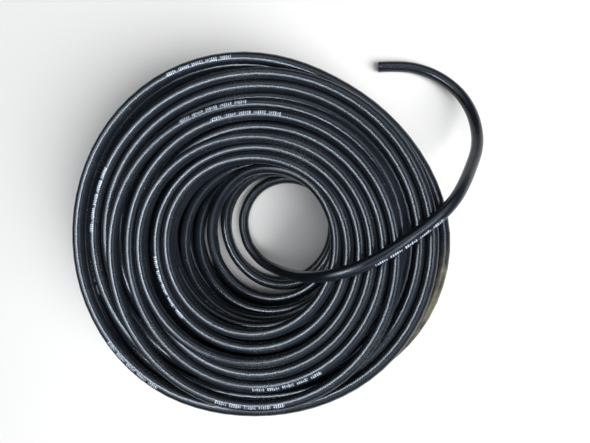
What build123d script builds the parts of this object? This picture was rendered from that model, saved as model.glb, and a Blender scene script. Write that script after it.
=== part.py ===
"""Coiled air hose: one long reinforced PVC hose wound into a loose flat coil, both ends bare.

Row frame: millimetres, +Z up, the coil lies on the plane z = 0 and the origin is the centre of
its eye. The free end leaves the loose loops inside the eye, climbs over the coil's rim towards
+X, drops outside it and ends on the floor at the far right. The other end lies on the floor
against the coil's outer wall at -X.
"""
from build123d import *
from math import pi, radians, tan
import os

# hose section
hose_od = 12.0
bore = 6.5
liner_wall = 1.2
braid_wall = 0.35
layer_gap = 0.05

# wound coil, outer shape
coil_length = 394.0
coil_width = 366.0
coil_height = 106.0
coil_centre = (-3.0, 1.0)
top_round = 20.0
foot_round = 5.0

# eye of the coil: a funnel, wider and a little off centre at the top
eye_floor_r = 71.0
eye_top_r = 89.0
eye_top_shift = -8.0
eye_round = 22.0

# loose loops lying in the eye
loops_gap = 6.0
loops_height = 26.0
loops_hole_r = 44.0
loops_hole_centre = (11.0, 9.0)
loops_round = 2.5
socket_clearance = 0.3

# route of the free end, from the loose loops to the bare tip
free_route = [
    (-2, -31, 19),
    (26, -41, 36),
    (50, -44, 67),
    (71, -42, 101),
    (98, -34, 122),
    (133, -16, 127),
    (169, 11, 124),
    (198, 44, 112),
    (219, 82, 86),
    (229, 124, 52),
    (221, 163, 25),
    (197, 188, 11),
    (163, 199, 6),
    (127, 198, 6),
]

# route of the other end, from the coil's outer wall to its bare tip
tail_route = [
    (-151, -107, 6),
    (-191, -82, 6),
    (-212, -41, 6),
    (-218, 3, 6),
    (-216, 45, 6),
]

# an arc takes up this share of the shorter run beside it
arc_share = 0.45


def corner_radii(points):
    """Radius of the arc at each inner point of a route."""
    runs = [b - a for a, b in zip(points, points[1:])]
    radii = []
    for before, after in zip(runs, runs[1:]):
        half_turn = radians(before.get_angle(after)) / 2
        radii.append(arc_share * min(before.length, after.length) / tan(half_turn))
    return radii


def hose_line(route):
    """Straight runs joined by tangent arcs."""
    points = [Vector(*p) for p in route]
    return FilletPolyline(*points, radius=corner_radii(points))


def layer(line, outer_r, inner_r, name):
    """One concentric layer of the hose along a line."""
    start = Plane(origin=line @ 0, z_dir=line % 0)
    ring = start * (Circle(outer_r) - Circle(inner_r))
    body = sweep(ring, path=line)
    expected = pi * (outer_r**2 - inner_r**2) * line.length
    print(f"{name}: length {line.length:.1f}, volume / section x length {body.volume / expected:.4f}")
    return body


def hose_layers(route, prefix):
    """Inner tube, braid and cover of one bare end of the hose."""
    line = hose_line(route)
    radii = corner_radii([Vector(*p) for p in route])
    print(f"{prefix}: arc radii {[round(r) for r in radii]}")
    liner_r = bore / 2 + liner_wall
    braid_inner_r = liner_r + layer_gap
    braid_outer_r = braid_inner_r + braid_wall
    cover_inner_r = braid_outer_r + layer_gap
    return {
        f"{prefix}_inner_tube": layer(line, liner_r, bore / 2, f"{prefix}_inner_tube"),
        f"{prefix}_braid": layer(line, braid_outer_r, braid_inner_r, f"{prefix}_braid"),
        f"{prefix}_cover": layer(line, hose_od / 2, cover_inner_r, f"{prefix}_cover"),
    }


def hose_room(route):
    """Space that a bare end needs in the solid it comes out of."""
    line = hose_line(route)
    start = Plane(origin=line @ 0, z_dir=line % 0)
    return sweep(start * Circle(hose_od / 2 + socket_clearance), path=line)


def make_coil_winding():
    """Outer shape of the wound turns: an oval ring with round shoulders and a funnel eye."""
    block = Pos(*coil_centre) * extrude(Ellipse(coil_length / 2, coil_width / 2), coil_height)
    block = fillet(block.edges().group_by(Axis.Z)[-1], top_round)
    block = fillet(block.edges().group_by(Axis.Z)[0], foot_round)
    floor_circle = Circle(eye_floor_r)
    top_circle = Pos(0, eye_top_shift, coil_height) * Circle(eye_top_r)
    block -= loft([floor_circle.face(), top_circle.face()])
    rim = block.edges().group_by(Axis.Z)[-1].sort_by(SortBy.LENGTH)[0]
    return fillet(rim, eye_round) - hose_room(tail_route)


def make_inner_loops():
    """Outer shape of the loose loops inside the eye."""
    ring = extrude(Circle(eye_floor_r - loops_gap), loops_height)
    ring -= Pos(*loops_hole_centre) * extrude(Circle(loops_hole_r), loops_height)
    ring = fillet(ring.edges().group_by(Axis.Z)[-1], loops_round)
    return ring - hose_room(free_route)


def main():
    os.makedirs("parts", exist_ok=True)
    nodes = {"coil_winding": make_coil_winding(), "inner_loops": make_inner_loops()}
    nodes.update(hose_layers(free_route, "free_end"))
    nodes.update(hose_layers(tail_route, "tail"))
    for name, shape in nodes.items():
        export_step(shape, f"parts/{name}.step")


main()
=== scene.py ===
"""Coiled air hose: sixty metres of braided PVC hose in a loose flat coil, both ends bare."""
import math

import bpy
import numpy as np
from mathutils import Matrix, Vector


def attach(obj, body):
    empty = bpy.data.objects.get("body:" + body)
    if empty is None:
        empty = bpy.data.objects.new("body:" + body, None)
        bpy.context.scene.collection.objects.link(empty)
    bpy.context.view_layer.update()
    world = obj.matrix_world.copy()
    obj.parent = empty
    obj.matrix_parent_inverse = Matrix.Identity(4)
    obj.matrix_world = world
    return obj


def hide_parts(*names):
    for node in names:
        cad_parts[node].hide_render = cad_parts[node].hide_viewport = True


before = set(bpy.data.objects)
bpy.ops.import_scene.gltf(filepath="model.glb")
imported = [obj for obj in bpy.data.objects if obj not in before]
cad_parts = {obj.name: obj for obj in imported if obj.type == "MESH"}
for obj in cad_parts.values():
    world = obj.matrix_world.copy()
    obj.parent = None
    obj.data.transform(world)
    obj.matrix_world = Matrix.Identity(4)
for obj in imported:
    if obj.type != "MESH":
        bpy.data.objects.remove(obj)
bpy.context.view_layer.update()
bpy.ops.object.select_all(action="DESELECT")

# ---- How the hose is wound -------------------------------------------------------------
# The hose is laid in nine flat layers, by turns from the outside in and from the inside
# out. The top layer is loose: some of its turns slip under the next. Three more turns have
# dropped into the eye. Everything is worked out in millimetres from the middle of the eye.
MM = 0.001
HOSE_OD = 12.0
STEPS = 24
LAYERS = 9
LAYER_RISE = 11.6
LOWER_TURNS = 6.9
FIRST_STEP = 15

# the eye under the top layer: its radius and its middle at the floor, what the layers above add to
# or take from them by the last one, and how far each layer strays
EYE_R, EYE_WIDENS = 81, 11
EYE_MIDDLE, EYE_LEANS = (6, 1), (6, 8)
EYE_STRAYS = 2
# how far a layer can stay short of the rim, and how early its turns reach it
RIM_SLACK = 6
RIM_REACHED = 1.1

# distance of the outermost turns, every 30 degrees: the coil is pulled out of round
RIM = (193, 183, 177, 186, 195, 199, 199, 199, 196, 180, 173, 187)

# distance of the top layer's turns at 0, 90, 180 and 270 degrees
TOP_TURNS = [
    (190, 181, 195, 178),
    (181, 168, 179, 166),
    (170, 156, 165, 153),
    (161, 147, 151, 142),
    (154, 137, 152, 171),
    (147, 127, 133, 152),
    (135, 115, 122, 140),
    (124, 104, 119, 130),
    (112, 94, 106, 116),
    (100, 84, 92, 100),
]
# turns of the top layer that slip under their neighbours: turn, middle and half width of the dip
SLIPPED = [(1, 265, 65), (2, 255, 80), (3, 245, 100), (6, 150, 50)]
SLIP_DEPTH = 11.0
# how fast the top layer's first turn leaves the rim for its own line
RIM_LEFT = 1.5

# the turn that goes down the wall of the eye and the three that lie in it: distance and height
# every 45 degrees
LOOSE_TURNS = [
    (89, 96), (84, 88), (75, 74), (65, 50), (65, 34), (70, 25), (78, 22), (82, 24),
    (84, 28), (84, 27), (76, 20), (65, 18), (52, 18), (50, 18), (59, 14), (73, 14),
    (82, 20), (86, 18), (80, 8), (66, 6), (55, 6), (52, 6), (58, 6), (69, 6),
    (78, 6), (83, 6), (65, 7), (43, 10), (30, 13), (28, 18),
]


def between(values, x):
    """A smooth curve through evenly spaced values, read at x."""
    j = min(int(x), len(values) - 2)
    t = x - j
    a, b, c, d = (values[min(max(j + i, 0), len(values) - 1)] for i in (-1, 0, 1, 2))
    return b + 0.5 * t * (c - a + t * (2 * a - 5 * b + 4 * c - d + t * (3 * (b - c) + d - a)))


def rim(step):
    """Distance of the outermost turns at a step."""
    return between(RIM * 2 + RIM[:2], 12 + (step % STEPS) * 12 / STEPS)


def ease(x):
    """0 to 1 with soft ends."""
    x = min(max(x, 0.0), 1.0)
    return x * x * (3 - 2 * x)


def lower_layers():
    """Angle step, distance and height of each point of the eight layers under the top one."""
    rng = np.random.default_rng(3)
    counts = [round(LOWER_TURNS * STEPS)] * (LAYERS - 1)
    spare = -(FIRST_STEP + sum(counts)) % STEPS
    for i in range(spare):
        counts[i % len(counts)] += 1
    made = []
    for layer, count in enumerate(counts):
        height = layer / (LAYERS - 1)
        inside = EYE_R + EYE_WIDENS * height + rng.uniform(-EYE_STRAYS, EYE_STRAYS)
        slack = rng.uniform(0, RIM_SLACK) * (1 - height)
        leaning = [at - by * height for at, by in zip(EYE_MIDDLE, EYE_LEANS)]
        shift_x, shift_y = rng.uniform(-EYE_STRAYS, EYE_STRAYS, 2) + leaning
        for i in range(count):
            f = (i + 0.5) / count
            if layer % 2 == 0:
                f = 1 - f
            f = min(1.0, RIM_REACHED * f)
            step = FIRST_STEP + len(made)
            angle = 2 * math.pi * step / STEPS
            near = inside + shift_x * math.cos(angle) + shift_y * math.sin(angle)
            r = near + (rim(step) - slack - near) * f
            made.append((step, r, HOSE_OD / 2 + LAYER_RISE * layer))
    return made


def upper_turns(first):
    """The same for the top layer and the loose turns in the eye."""
    top_z = HOSE_OD / 2 + LAYER_RISE * (LAYERS - 1)
    rs = [r for turn in TOP_TURNS for r in turn] + [LOOSE_TURNS[0][0]]
    made = []
    for i in range(len(TOP_TURNS) * STEPS):
        r, z = between(rs, 4 * i / STEPS), top_z
        r += (rim(first + i) - r) * ease(RIM_LEFT - i / STEPS * RIM_LEFT)
        for turn, middle, half in SLIPPED:
            away = abs((i / STEPS - turn) * 360 - middle)
            z -= SLIP_DEPTH * ease(2 * (1 - away / half))
        made.append((first + i, r, z))
    for i in range((len(LOOSE_TURNS) - 1) * STEPS // 8 + 1):
        r, z = (between([place[j] for place in LOOSE_TURNS], 8 * i / STEPS) for j in (0, 1))
        made.append((first + len(made), r, z))
    return made


# one round of settling: how far a turn sinks and for what share of the rounds, how firmly lower
# and upper turns keep their places, how stiff the hose is, how firmly its last turns keep their
# height, and how much of an overlap and how many millimetres one push takes away
ROUNDS = 400
SINK, SINK_SHARE = 0.02, 0.75
HOLD_LOWER, HOLD_UPPER = 0.02, 0.08
STIFFNESS = 0.25
HEIGHT_TURNS, HOLD_HEIGHT = 4, 0.05
PUSHES, PUSH_SHARE, PUSH_MOST = 3, 0.35, 1


def settle(steps, r, z, loose_from):
    """Moves turns that would lie in each other apart, and lets them sink on to what is below."""
    station = steps % STEPS
    rows = [np.flatnonzero(station == s) for s in range(STEPS)]
    widest = max(len(row) for row in rows)
    table = np.full((STEPS, widest), -1)
    for s, row in enumerate(rows):
        table[s, : len(row)] = row
    real = table >= 0
    table = np.where(real, table, 0)
    pairs = real[:, :, None] & real[:, None, :] & ~np.eye(widest, dtype=bool)
    home = r.copy()
    home_z = z.copy()
    pull = np.where(np.arange(len(r)) >= loose_from, HOLD_UPPER, HOLD_LOWER)
    own_bend = (home[:-2] + home[2:]) / 2 - home[1:-1]
    for done in range(ROUNDS):
        if done < SINK_SHARE * ROUNDS:
            z -= SINK
        r += pull * (home - r)
        r[1:-1] += STIFFNESS * ((r[:-2] + r[2:]) / 2 - own_bend - r[1:-1])
        z[1:-1] += STIFFNESS * ((z[:-2] + z[2:]) / 2 - z[1:-1])
        z[-STEPS * HEIGHT_TURNS :] += HOLD_HEIGHT * (home_z - z)[-STEPS * HEIGHT_TURNS :]
        for _ in range(PUSHES):
            across, up = r[table], z[table]
            dr = across[:, :, None] - across[:, None, :]
            dz = up[:, :, None] - up[:, None, :]
            apart = np.sqrt(dr**2 + dz**2) + 1e-9
            push = np.where(pairs & (apart < HOSE_OD), HOSE_OD - apart, 0)
            share = PUSH_SHARE / np.maximum(1, (push > 0).sum(2)) ** 0.5
            move_r, move_z = np.zeros(len(r)), np.zeros(len(r))
            move_r[table[real]] = ((push * dr / apart).sum(2) * share)[real]
            move_z[table[real]] = ((push * dz / apart).sum(2) * share)[real]
            r += move_r.clip(-PUSH_MOST, PUSH_MOST)
            z += move_z.clip(-PUSH_MOST, PUSH_MOST)
            z = np.maximum(z, HOSE_OD / 2)
    return r, z


wound = lower_layers()
top_first = len(wound)
wound += upper_turns(wound[-1][0] + 1)
steps = np.array([w[0] for w in wound])
turn_r, turn_z = settle(
    steps, np.array([w[1] for w in wound], float), np.array([w[2] for w in wound], float), top_first
)
turn_angle = steps * 2 * math.pi / STEPS
turns = np.stack([turn_r * np.cos(turn_angle), turn_r * np.sin(turn_angle), turn_z], 1)

# ---- The hose's route --------------------------------------------------------------------
# One line from bare tip to bare tip: the tail on the floor, the wound turns, then the free
# end, which climbs out of the eye, lies over the rim and drops to the floor outside it.
TAIL_ROUTE = [
    (-216, 45, 6),
    (-218, 3, 6),
    (-212, -41, 6),
    (-191, -82, 6),
    (-168, -118, 6),
]
FREE_ROUTE = [
    (-6, -33, 25),
    (15, -40, 38),
    (39, -42, 66),
    (62, -39, 97),
    (84, -34, 115),
    (109, -26, 121),
    (132, -14, 122),
    (152, -1, 121),
    (169, 11, 117),
    (186, 25, 114),
    (199, 39, 107),
    (210, 55, 93),
    (221, 74, 73),
    (230, 92, 56),
    (234, 112, 40),
    (232, 136, 26),
    (222, 160, 15),
    (204, 179, 9),
    (184, 191, 6),
    (159, 198, 6),
    (131, 198, 6),
]
SMOOTH = 9
COIL_RING_EVERY = 3

control = [*TAIL_ROUTE, *turns.tolist(), *FREE_ROUTE]
curve = bpy.data.curves.new("hose_route", "CURVE")
curve.dimensions = "3D"
spline = curve.splines.new("NURBS")
spline.points.add(len(control) - 1)
for point, place in zip(spline.points, control):
    point.co = (place[0] * MM, place[1] * MM, place[2] * MM, 1.0)
spline.order_u = 3
spline.use_endpoint_u = True
spline.resolution_u = SMOOTH
route = bpy.data.objects.new("hose_route", curve)
bpy.context.collection.objects.link(route)
line_mesh = bpy.data.meshes.new_from_object(route)
line = np.array([v.co[:] for v in line_mesh.vertices])
bpy.data.objects.remove(route)
bpy.data.curves.remove(curve)
bpy.data.meshes.remove(line_mesh)

tail_count = SMOOTH * (len(TAIL_ROUTE) - 1)
free_count = SMOOTH * (len(FREE_ROUTE) + STEPS)
wound_rows = np.arange(tail_count, len(line) - free_count, COIL_RING_EVERY)
kept = np.concatenate([np.arange(tail_count), wound_rows, np.arange(len(line) - free_count, len(line))])
centres = line[kept]
centres = centres[np.r_[True, np.linalg.norm(np.diff(centres, axis=0), axis=1) > 1e-6]]

# ---- Hose cover --------------------------------------------------------------------------
# Soft black PVC, extruded over the braid while hot, so that the yarns show through it as
# fine crossing ribs. It is one tube from tip to tip, cut square at both ends with a knife.
COVER_R = HOSE_OD / 2 * MM
COVER_INNER_R = 4.9 * MM
SIDES = 16
CUT_DEPTH_RINGS = 5
# the cover stands past the cut by a little, and its edges are eased
CUT_PROUD, INNER_EASE, OUTER_EASE = 0.0002, 0.0001, 0.0003
YARNS = 16.0
RIB_PITCH = 1.65 * MM
RIB_HEIGHT = 0.000017

# marks, in metres: the way between two of them, the first one's distance from the tail's tip, and
# the last one's from the free tip with the side of the hose it is on, in turns
MARK_SPACING = 0.45
FIRST_MARK, LAST_MARK, LAST_MARK_SIDE = 0.16, 0.325, 0.13
MARK_LENGTH = 0.073
BAR_PITCH, BAR_WIDE = 0.0022, 0.0013
BLOCK_PITCH, BLOCK_WIDE = 0.0154, 0.0118
# marks of the top layer that face up: turn and angle
MARKS_UP = [(0, 104), (0, 232), (1, 167), (4, 112), (4, 276), (5, 91), (5, 282), (8, 205)]

# the painted reflection: a tan band painted on the rim's outer upper turns where a tan surrounding would be
# reflected, in metres: how far out and how high it starts, and where it begins and ends in y
TAN_REFLECTION_OUT, TAN_REFLECTION_HEIGHT = (0.184, 0.189), (0.074, 0.084)
TAN_REFLECTION_BEGINS, TAN_REFLECTION_ENDS = (0.0, -0.03), (-0.13, -0.09)


def marks_along(reach, centres):
    """Distance along the hose of each printed mark, and the side of the hose it is on, in turns."""
    seen = []
    for turn, angle in MARKS_UP:
        row = turns[top_first + round(turn * STEPS + angle * STEPS / 360)] * MM
        seen.append(reach[np.linalg.norm(centres - row, axis=1).argmin()])
    rng = np.random.default_rng(8)
    at, side = [], []
    knots = [FIRST_MARK, *seen, reach[-1] - LAST_MARK]
    for a, b in zip(knots[:-1], knots[1:]):
        count = max(1, round((b - a) / MARK_SPACING))
        at += [a + (b - a) * i / count for i in range(count)]
        side += [rng.uniform(-0.03, 0.05)] + list(rng.uniform(0.25, 0.75, count - 1))
    return np.array(at + [knots[-1]]), np.array(side + [LAST_MARK_SIDE])


def along(points):
    """Distance from the first point, direction, side and upper side at each point."""
    gaps = np.linalg.norm(np.diff(points, axis=0), axis=1)
    reach = np.concatenate([[0], np.cumsum(gaps)])
    way = np.gradient(points, axis=0)
    way /= np.linalg.norm(way, axis=1)[:, None]
    side = np.cross(way, (0, 0, 1))
    side /= np.linalg.norm(side, axis=1)[:, None]
    return reach, way, side, np.cross(side, way)


def ring(points, side, up, radius, sides):
    """A circle of points about each centre, the first one on top."""
    angle = 2 * math.pi * np.arange(sides) / sides
    round_it = up[:, None] * np.cos(angle)[:, None] + side[:, None] * np.sin(angle)[:, None]
    return points[:, None] + round_it * radius


def skin(name, rings, turned, reach_a, reach_b, materials, slots, shut=True):
    """A mesh over a row of rings, its ends shut if asked, with a UV map in turns and metres."""
    count, sides = rings.shape[:2]
    k = np.arange(sides)
    first = (np.arange(count - 1) * sides)[:, None]
    quads = np.stack(
        [first + k, first + (k + 1) % sides, first + sides + (k + 1) % sides, first + sides + k], 2
    ).reshape(-1, 4)
    mesh = bpy.data.meshes.new(name)
    ends = [list(range(sides))[::-1], list(range((count - 1) * sides, count * sides))] if shut else []
    mesh.from_pydata(rings.reshape(-1, 3).tolist(), [], quads.tolist() + ends)
    u = np.stack([k, k + 1, k + 1, k], 1)[None].repeat(count - 1, 0) / sides
    u = u - np.stack([turned[:-1], turned[:-1], turned[1:], turned[1:]], 1)[:, None]
    v = np.stack([reach_a, reach_a, reach_b, reach_b], 1)[:, None].repeat(sides, 1)
    uv = np.stack([u, v], 3).reshape(-1, 2)
    uv = np.concatenate([uv, np.zeros((len(ends) * sides, 2))])
    layer = mesh.uv_layers.new(name="hose")
    layer.data.foreach_set("uv", uv.astype(np.float32).ravel())
    for material in materials:
        mesh.materials.append(material)
    which = np.concatenate([np.repeat(slots, sides), [slots[0], slots[-1]][: len(ends)]]).astype(np.int32)
    mesh.polygons.foreach_set("material_index", which)
    mesh.polygons.foreach_set("use_smooth", np.ones(len(mesh.polygons), bool))
    mesh.update()
    piece = bpy.data.objects.new(name, mesh)
    bpy.context.collection.objects.link(piece)
    return piece


def new_material(name):
    """A material with its shader and a helper that adds nodes."""
    material = bpy.data.materials.new(name)
    material.use_nodes = True
    tree = material.node_tree
    shader = tree.nodes["Principled BSDF"]

    def add(kind, *inputs, **settings):
        node = tree.nodes.new(kind)
        for key, value in settings.items():
            setattr(node, key, value)
        for socket, value in zip(node.inputs, inputs):
            if isinstance(value, bpy.types.NodeSocket):
                tree.links.new(value, socket)
            elif value is not None:
                socket.default_value = value
        return node.outputs[0]

    return material, tree, shader, add


def cover_material():
    """Blue-black PVC with the braid's ribs, scuffs, a painted tan reflection on the rim and worn plain white
    bars.
    """
    material, tree, shader, add = new_material("hose_cover_pvc")

    def maths(how, *values):
        return add("ShaderNodeMath", *values, operation=how)

    def blend(share, one, other):
        node = tree.nodes.new("ShaderNodeMix")
        node.data_type = "RGBA"
        tree.links.new(share, node.inputs[0])
        for socket, colour in ((node.inputs[6], one), (node.inputs[7], other)):
            if isinstance(colour, bpy.types.NodeSocket):
                tree.links.new(colour, socket)
            else:
                socket.default_value = (*colour, 1)
        return node.outputs[2]

    uv = tree.nodes.new("ShaderNodeUVMap")
    uv.uv_map = "hose"
    split = tree.nodes.new("ShaderNodeSeparateXYZ")
    tree.links.new(uv.outputs[0], split.inputs[0])
    turn, metres = split.outputs[0], split.outputs[1]
    place = tree.nodes.new("ShaderNodeTexCoord").outputs["Object"]

    # ribs: the yarns run round the hose both ways
    ribs = []
    for sign in (1.0, -1.0):
        phase = maths("MULTIPLY_ADD", metres, sign / RIB_PITCH, maths("MULTIPLY", turn, YARNS))
        ribs.append(maths("SINE", maths("MULTIPLY", phase, 2 * math.pi)))
    relief = maths("MAXIMUM", ribs[0], ribs[1])

    # scuffs: chalky rubbed patches, and specks of dust
    patch = add("ShaderNodeTexNoise", place, None, 14.0, 3.0, 0.6)
    fine = add("ShaderNodeTexNoise", place, None, 520.0, 3.0, 0.7)
    patches = add("ShaderNodeMapRange", patch, 0.55, 0.75, 0.0, 1.0)
    grains = add("ShaderNodeMapRange", fine, 0.48, 0.72, 0.0, 1.0)
    scuff = maths("MULTIPLY", patches, grains)
    specks = add("ShaderNodeTexNoise", place, None, 760.0, 1.0, 0.5)
    specks = add("ShaderNodeMapRange", specks, 0.76, 0.8, 0.0, 1.0)

    # painted reflection: a tan band painted outside on the rim's upper turns, on the +X side, standing for a
    # tan surrounding reflected at a grazing angle
    where = tree.nodes.new("ShaderNodeSeparateXYZ")
    tree.links.new(place, where.inputs[0])
    x, y, height = where.outputs
    distance = maths("SQRT", maths("ADD", maths("MULTIPLY", x, x), maths("MULTIPLY", y, y)))
    outside = add("ShaderNodeMapRange", distance, *TAN_REFLECTION_OUT, 0.0, 1.0)
    outside = maths("MULTIPLY", outside, maths("GREATER_THAN", x, 0.0))
    outside = maths("MULTIPLY", outside, add("ShaderNodeMapRange", height, *TAN_REFLECTION_HEIGHT, 0.0, 1.0))
    begins = add("ShaderNodeMapRange", y, *TAN_REFLECTION_BEGINS, 0.0, 1.0)
    ends = add("ShaderNodeMapRange", y, *TAN_REFLECTION_ENDS, 0.0, 1.0)
    reflection_patchiness = add("ShaderNodeTexNoise", place, None, 60.0, 3.0, 0.6)
    reflection_patchiness = add("ShaderNodeMapRange", reflection_patchiness, 0.35, 0.6, 0.1, 0.55)
    painted_reflection = maths("MULTIPLY", maths("MULTIPLY", outside, reflection_patchiness), maths("MULTIPLY", begins, ends))

    # marks: plain bars in blocks, on the line where the turn value passes zero
    off = maths("WRAP", turn, 0.5, -0.5)
    from_start = maths("ADD", metres, MARK_LENGTH / 2)
    bar = maths("FLOOR", maths("DIVIDE", from_start, BAR_PITCH))
    tall = add("ShaderNodeTexWhiteNoise", None, bar, noise_dimensions="1D")
    half = maths("MULTIPLY_ADD", maths("GREATER_THAN", tall, 0.45), 0.014, 0.032)
    in_line = maths("LESS_THAN", maths("ABSOLUTE", off), half)
    in_mark = maths("LESS_THAN", maths("ABSOLUTE", metres), MARK_LENGTH / 2)
    in_bar = maths("LESS_THAN", maths("MODULO", from_start, BAR_PITCH), BAR_WIDE)
    in_block = maths("LESS_THAN", maths("MODULO", from_start, BLOCK_PITCH), BLOCK_WIDE)
    ink = maths("MULTIPLY", maths("MULTIPLY", in_line, in_mark), maths("MULTIPLY", in_bar, in_block))
    kept_ink = add("ShaderNodeTexNoise", place, None, 330.0, 3.0, 0.7)
    ink = maths("MULTIPLY", ink, add("ShaderNodeMapRange", kept_ink, 0.38, 0.5, 0.15, 0.95))

    tone = add("ShaderNodeTexNoise", place, None, 40.0, 2.0, 0.5)
    colour = blend(tone, (0.006, 0.008, 0.012), (0.014, 0.017, 0.024))
    colour = blend(maths("MULTIPLY", scuff, 0.5), colour, (0.16, 0.17, 0.17))
    # painted reflection: the tan band is mixed into the cover's colour here
    colour = blend(painted_reflection, colour, (0.19, 0.17, 0.11))
    colour = blend(maths("MULTIPLY", specks, 0.6), colour, (0.45, 0.45, 0.42))
    colour = blend(ink, colour, (0.5, 0.58, 0.7))
    tree.links.new(colour, shader.inputs["Base Color"])

    rough = maths("MULTIPLY_ADD", fine, 0.1, 0.19)
    rough = maths("MULTIPLY_ADD", scuff, 0.18, rough)
    tree.links.new(rough, shader.inputs["Roughness"])
    bump = tree.nodes.new("ShaderNodeBump")
    bump.inputs["Strength"].default_value = 1.0
    bump.inputs["Distance"].default_value = RIB_HEIGHT
    tree.links.new(relief, bump.inputs["Height"])
    tree.links.new(bump.outputs[0], shader.inputs["Normal"])
    shader.inputs["IOR"].default_value = 1.5
    return material


def cut_material():
    """Freshly cut PVC at the ends: smooth, matt and black."""
    material, tree, shader, add = new_material("hose_cut_pvc")
    place = tree.nodes.new("ShaderNodeTexCoord").outputs["Object"]
    grain = add("ShaderNodeTexNoise", place, None, 900.0, 3.0, 0.6)
    rough = add("ShaderNodeMapRange", grain, 0.3, 0.7, 0.45, 0.7)
    tree.links.new(rough, shader.inputs["Roughness"])
    shader.inputs["Base Color"].default_value = (0.018, 0.02, 0.024, 1)
    return material


reach, way, side, up = along(centres)
outer = ring(centres, side, up, COVER_R, SIDES)


def cut_end(rows, outward):
    """Rings of one cut end, from the bottom of the hollow out to the cover's edge."""
    hollow = ring(centres[rows], side[rows], up[rows], COVER_INNER_R, SIDES)
    edge = rows[-1:]
    tip = centres[edge] + way[edge] * outward * CUT_PROUD
    face = [
        ring(tip, side[edge], up[edge], COVER_INNER_R + INNER_EASE, SIDES),
        ring(tip, side[edge], up[edge], COVER_R - OUTER_EASE, SIDES),
    ]
    return np.concatenate([hollow, *face])


tail_rows = np.arange(CUT_DEPTH_RINGS, -1, -1)
free_rows = np.arange(len(centres) - 1 - CUT_DEPTH_RINGS, len(centres))
tail_cut = cut_end(tail_rows, -1)
free_cut = cut_end(free_rows, 1)[::-1]
all_rings = np.concatenate([tail_cut, outer, free_cut])

# length to the nearest mark, in step with the ribs, and the slow twist from mark to mark
mark_at, mark_side = marks_along(reach, centres)
steps_between = np.round(np.diff(mark_at) / RIB_PITCH) * RIB_PITCH
mark_v = np.concatenate([[0], np.cumsum(steps_between)])
scaled = np.interp(reach, mark_at, mark_v)
scaled[reach < mark_at[0]] = reach[reach < mark_at[0]] - mark_at[0]
scaled[reach > mark_at[-1]] = reach[reach > mark_at[-1]] - mark_at[-1] + mark_v[-1]
from_mark = mark_v[np.abs(scaled[:-1, None] - mark_v).argmin(1)]
v_start, v_end = scaled[:-1] - from_mark, scaled[1:] - from_mark
place_between = np.interp(reach, mark_at, np.arange(len(mark_at)))
whole = np.minimum(place_between.astype(int), len(mark_at) - 2)
part = place_between - whole
part = part * part * (3 - 2 * part)
turned = mark_side[whole] * (1 - part) + mark_side[whole + 1] * part

# the rings of the two cuts carry no marks and have the cut's material
head, foot = np.zeros(len(tail_cut)), np.zeros(len(free_cut))
turned = np.concatenate([head, turned, foot])
v_start = np.concatenate([head, v_start, foot])
v_end = np.concatenate([head, v_end, foot])
is_cut = np.ones(len(all_rings) - 1, int)
is_cut[len(tail_cut) : len(tail_cut) + len(outer) - 1] = 0
hose = skin(
    "air_hose_cover", all_rings, turned, v_start, v_end, [cover_material(), cut_material()], is_cut
)
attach(hose, "root")
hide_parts("coil_winding", "inner_loops", "free_end_cover", "tail_cover")

# ---- Inner tube and braid at the cut ends --------------------------------------------------
# Under the cover lies a sleeve of white polyester yarn, and inside it the smooth PVC tube
# that carries the air. They show only where the hose is cut.
LINER_R = 4.45 * MM
BORE_R = 3.25 * MM
BRAID_R = 4.85 * MM
BRAID_INNER_R = 4.5 * MM
SLEEVE_SIDES = 32
LINER_PROUD, BRAID_PROUD = 0.0001, 0.0004


def sleeve(name, rows, outward, outer_r, inner_r, proud, material):
    """A short hollow tube at one end, following the hose."""
    edge = rows[-1:]
    tip = centres[edge] + way[edge] * outward * proud
    line_in = np.concatenate([centres[rows], tip])
    side_in = np.concatenate([side[rows], side[edge]])
    up_in = np.concatenate([up[rows], up[edge]])
    rings_out = ring(line_in, side_in, up_in, outer_r, SLEEVE_SIDES)
    rings_in = ring(line_in, side_in, up_in, inner_r, SLEEVE_SIDES)[::-1]
    loop = np.concatenate([rings_out, rings_in, rings_out[:1]])
    flat = np.zeros(len(loop))
    piece = skin(name, loop, flat, flat[1:], flat[1:], [material], np.zeros(len(loop) - 1, int), False)
    bpy.context.view_layer.objects.active = piece
    piece.select_set(True)
    bpy.ops.object.mode_set(mode="EDIT")
    bpy.ops.mesh.select_all(action="SELECT")
    bpy.ops.mesh.remove_doubles(threshold=1e-7)
    bpy.ops.mesh.normals_make_consistent(inside=False)
    bpy.ops.mesh.select_all(action="DESELECT")
    bpy.ops.object.mode_set(mode="OBJECT")
    piece.select_set(False)
    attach(piece, "root")
    return piece


def liner_material():
    """Smooth black PVC of the inner tube."""
    material, tree, shader, add = new_material("inner_tube_pvc")
    place = tree.nodes.new("ShaderNodeTexCoord").outputs["Object"]
    grain = add("ShaderNodeTexNoise", place, None, 500.0, 2.0, 0.5)
    rough = add("ShaderNodeMapRange", grain, 0.3, 0.7, 0.25, 0.4)
    tree.links.new(rough, shader.inputs["Roughness"])
    shader.inputs["Base Color"].default_value = (0.022, 0.023, 0.026, 1)
    return material


def yarn_material():
    """White polyester yarn."""
    material, tree, shader, add = new_material("braid_yarn_polyester")
    place = tree.nodes.new("ShaderNodeTexCoord").outputs["Object"]
    grain = add("ShaderNodeTexNoise", place, None, 2500.0, 3.0, 0.6)
    rough = add("ShaderNodeMapRange", grain, 0.3, 0.7, 0.6, 0.85)
    tree.links.new(rough, shader.inputs["Roughness"])
    shader.inputs["Base Color"].default_value = (0.62, 0.61, 0.57, 1)
    return material


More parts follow.
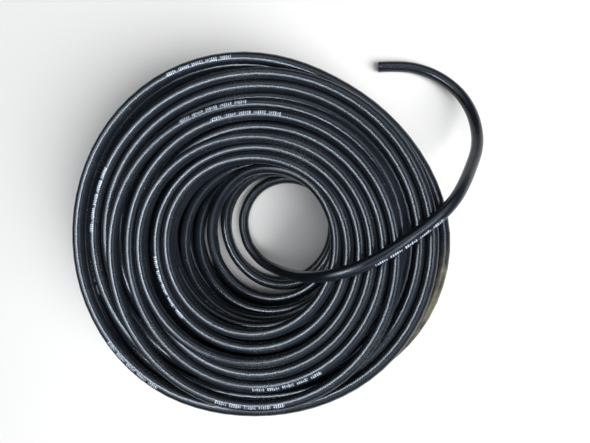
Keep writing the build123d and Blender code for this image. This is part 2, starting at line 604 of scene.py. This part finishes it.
inner_black, yarn_white = liner_material(), yarn_material()
for end, rows, outward in (("free_end", free_rows, 1), ("tail", tail_rows, -1)):
    liner = sleeve(f"{end}_liner", rows, outward, LINER_R, BORE_R, LINER_PROUD, inner_black)
    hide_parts(f"{end}_inner_tube")
    braid = sleeve(f"{end}_yarns", rows, outward, BRAID_R, BRAID_INNER_R, BRAID_PROUD, yarn_white)
    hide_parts(f"{end}_braid")

tuple(centres[0])

# ---- Floor, light and camera ---------------------------------------------------------------
# A plain pale floor under soft studio light, seen from above.
FLOOR_SIZE = 2.6
bpy.ops.mesh.primitive_plane_add(size=FLOOR_SIZE, location=(0, 0, 0))
floor = bpy.context.object
floor.name = "studio_floor"
paper, _, paper_shader, _ = new_material("studio_paper")
paper_shader.inputs["Base Color"].default_value = (0.86, 0.86, 0.86, 1)
paper_shader.inputs["Roughness"].default_value = 0.9
floor.data.materials.append(paper)

world = bpy.data.worlds.new("studio_air")
bpy.context.scene.world = world
world.use_nodes = True
world.node_tree.nodes["Background"].inputs[0].default_value = (0.97, 0.98, 1, 1)
world.node_tree.nodes["Background"].inputs[1].default_value = 0.85
world.cycles_visibility.glossy = False
world.cycles_visibility.diffuse = False


def panel(name, place, wide, deep, glow, tilt=None):
    """A lamp panel that faces down, or a point; its strength is given as its brightness."""
    lamp = bpy.data.lights.new(name, "AREA")
    lamp.shape = "RECTANGLE"
    lamp.size, lamp.size_y = wide, deep
    lamp.energy = glow * math.pi * wide * deep
    lamp.color = (0.77, 0.88, 1.0)
    holder = bpy.data.objects.new(name, lamp)
    bpy.context.collection.objects.link(holder)
    holder.location = place
    if tilt:
        holder.rotation_euler = (Vector(tilt) - Vector(place)).to_track_quat("-Z", "Y").to_euler()
    holder.visible_camera = False
    return holder


# two key lights shape the floor's soft shadows; the panels overhead are what the gloss shows
for name, place, wide, glow in (
    ("key_above", (0.4, -0.3, 2.8), 1.8, 2.7),
    ("key_low", (2.5, -1.5, 2.6), 3.0, 9.0),
):
    key = panel(name, place, wide, wide, glow, (0, 0, 0))
    key.data.color = (1, 1, 1)
    key.visible_glossy = False
for name, place, wide, deep, glow in (
    ("window_left", (-0.20, -0.035, 0.6), 0.11, 0.20, 34),
    ("panel_left", (-0.42, -0.05, 0.6), 0.36, 0.6, 4.6),
    ("panel_far", (0.05, 0.50, 0.6), 0.9, 0.5, 1.3),
    ("panel_near", (0.05, -0.40, 0.6), 0.9, 0.4, 1.2),
    ("panel_right", (0.38, 0.0, 0.6), 0.25, 0.6, 2.0),
    ("window_right", (0.28, 0.02, 0.5), 0.04, 0.26, 12.0),
):
    panel(name, place, wide, deep, glow).visible_diffuse = False

eye = Vector((0.116, 0.027, 0.522))
aim = Vector((0.047, 0.0175, 0.102))
back = (eye - aim).normalized()
right = Vector((0, 1, 0)).cross(back).normalized()
camera_data = bpy.data.cameras.new("camera")
camera_data.sensor_width = 36.0
camera_data.lens = 26.0
camera = bpy.data.objects.new("camera", camera_data)
bpy.context.collection.objects.link(camera)
camera.matrix_world = Matrix.Translation(eye) @ Matrix((right, back.cross(right), back)).transposed().to_4x4()
bpy.context.scene.camera = camera
bpy.context.scene.view_settings.view_transform = "Standard"
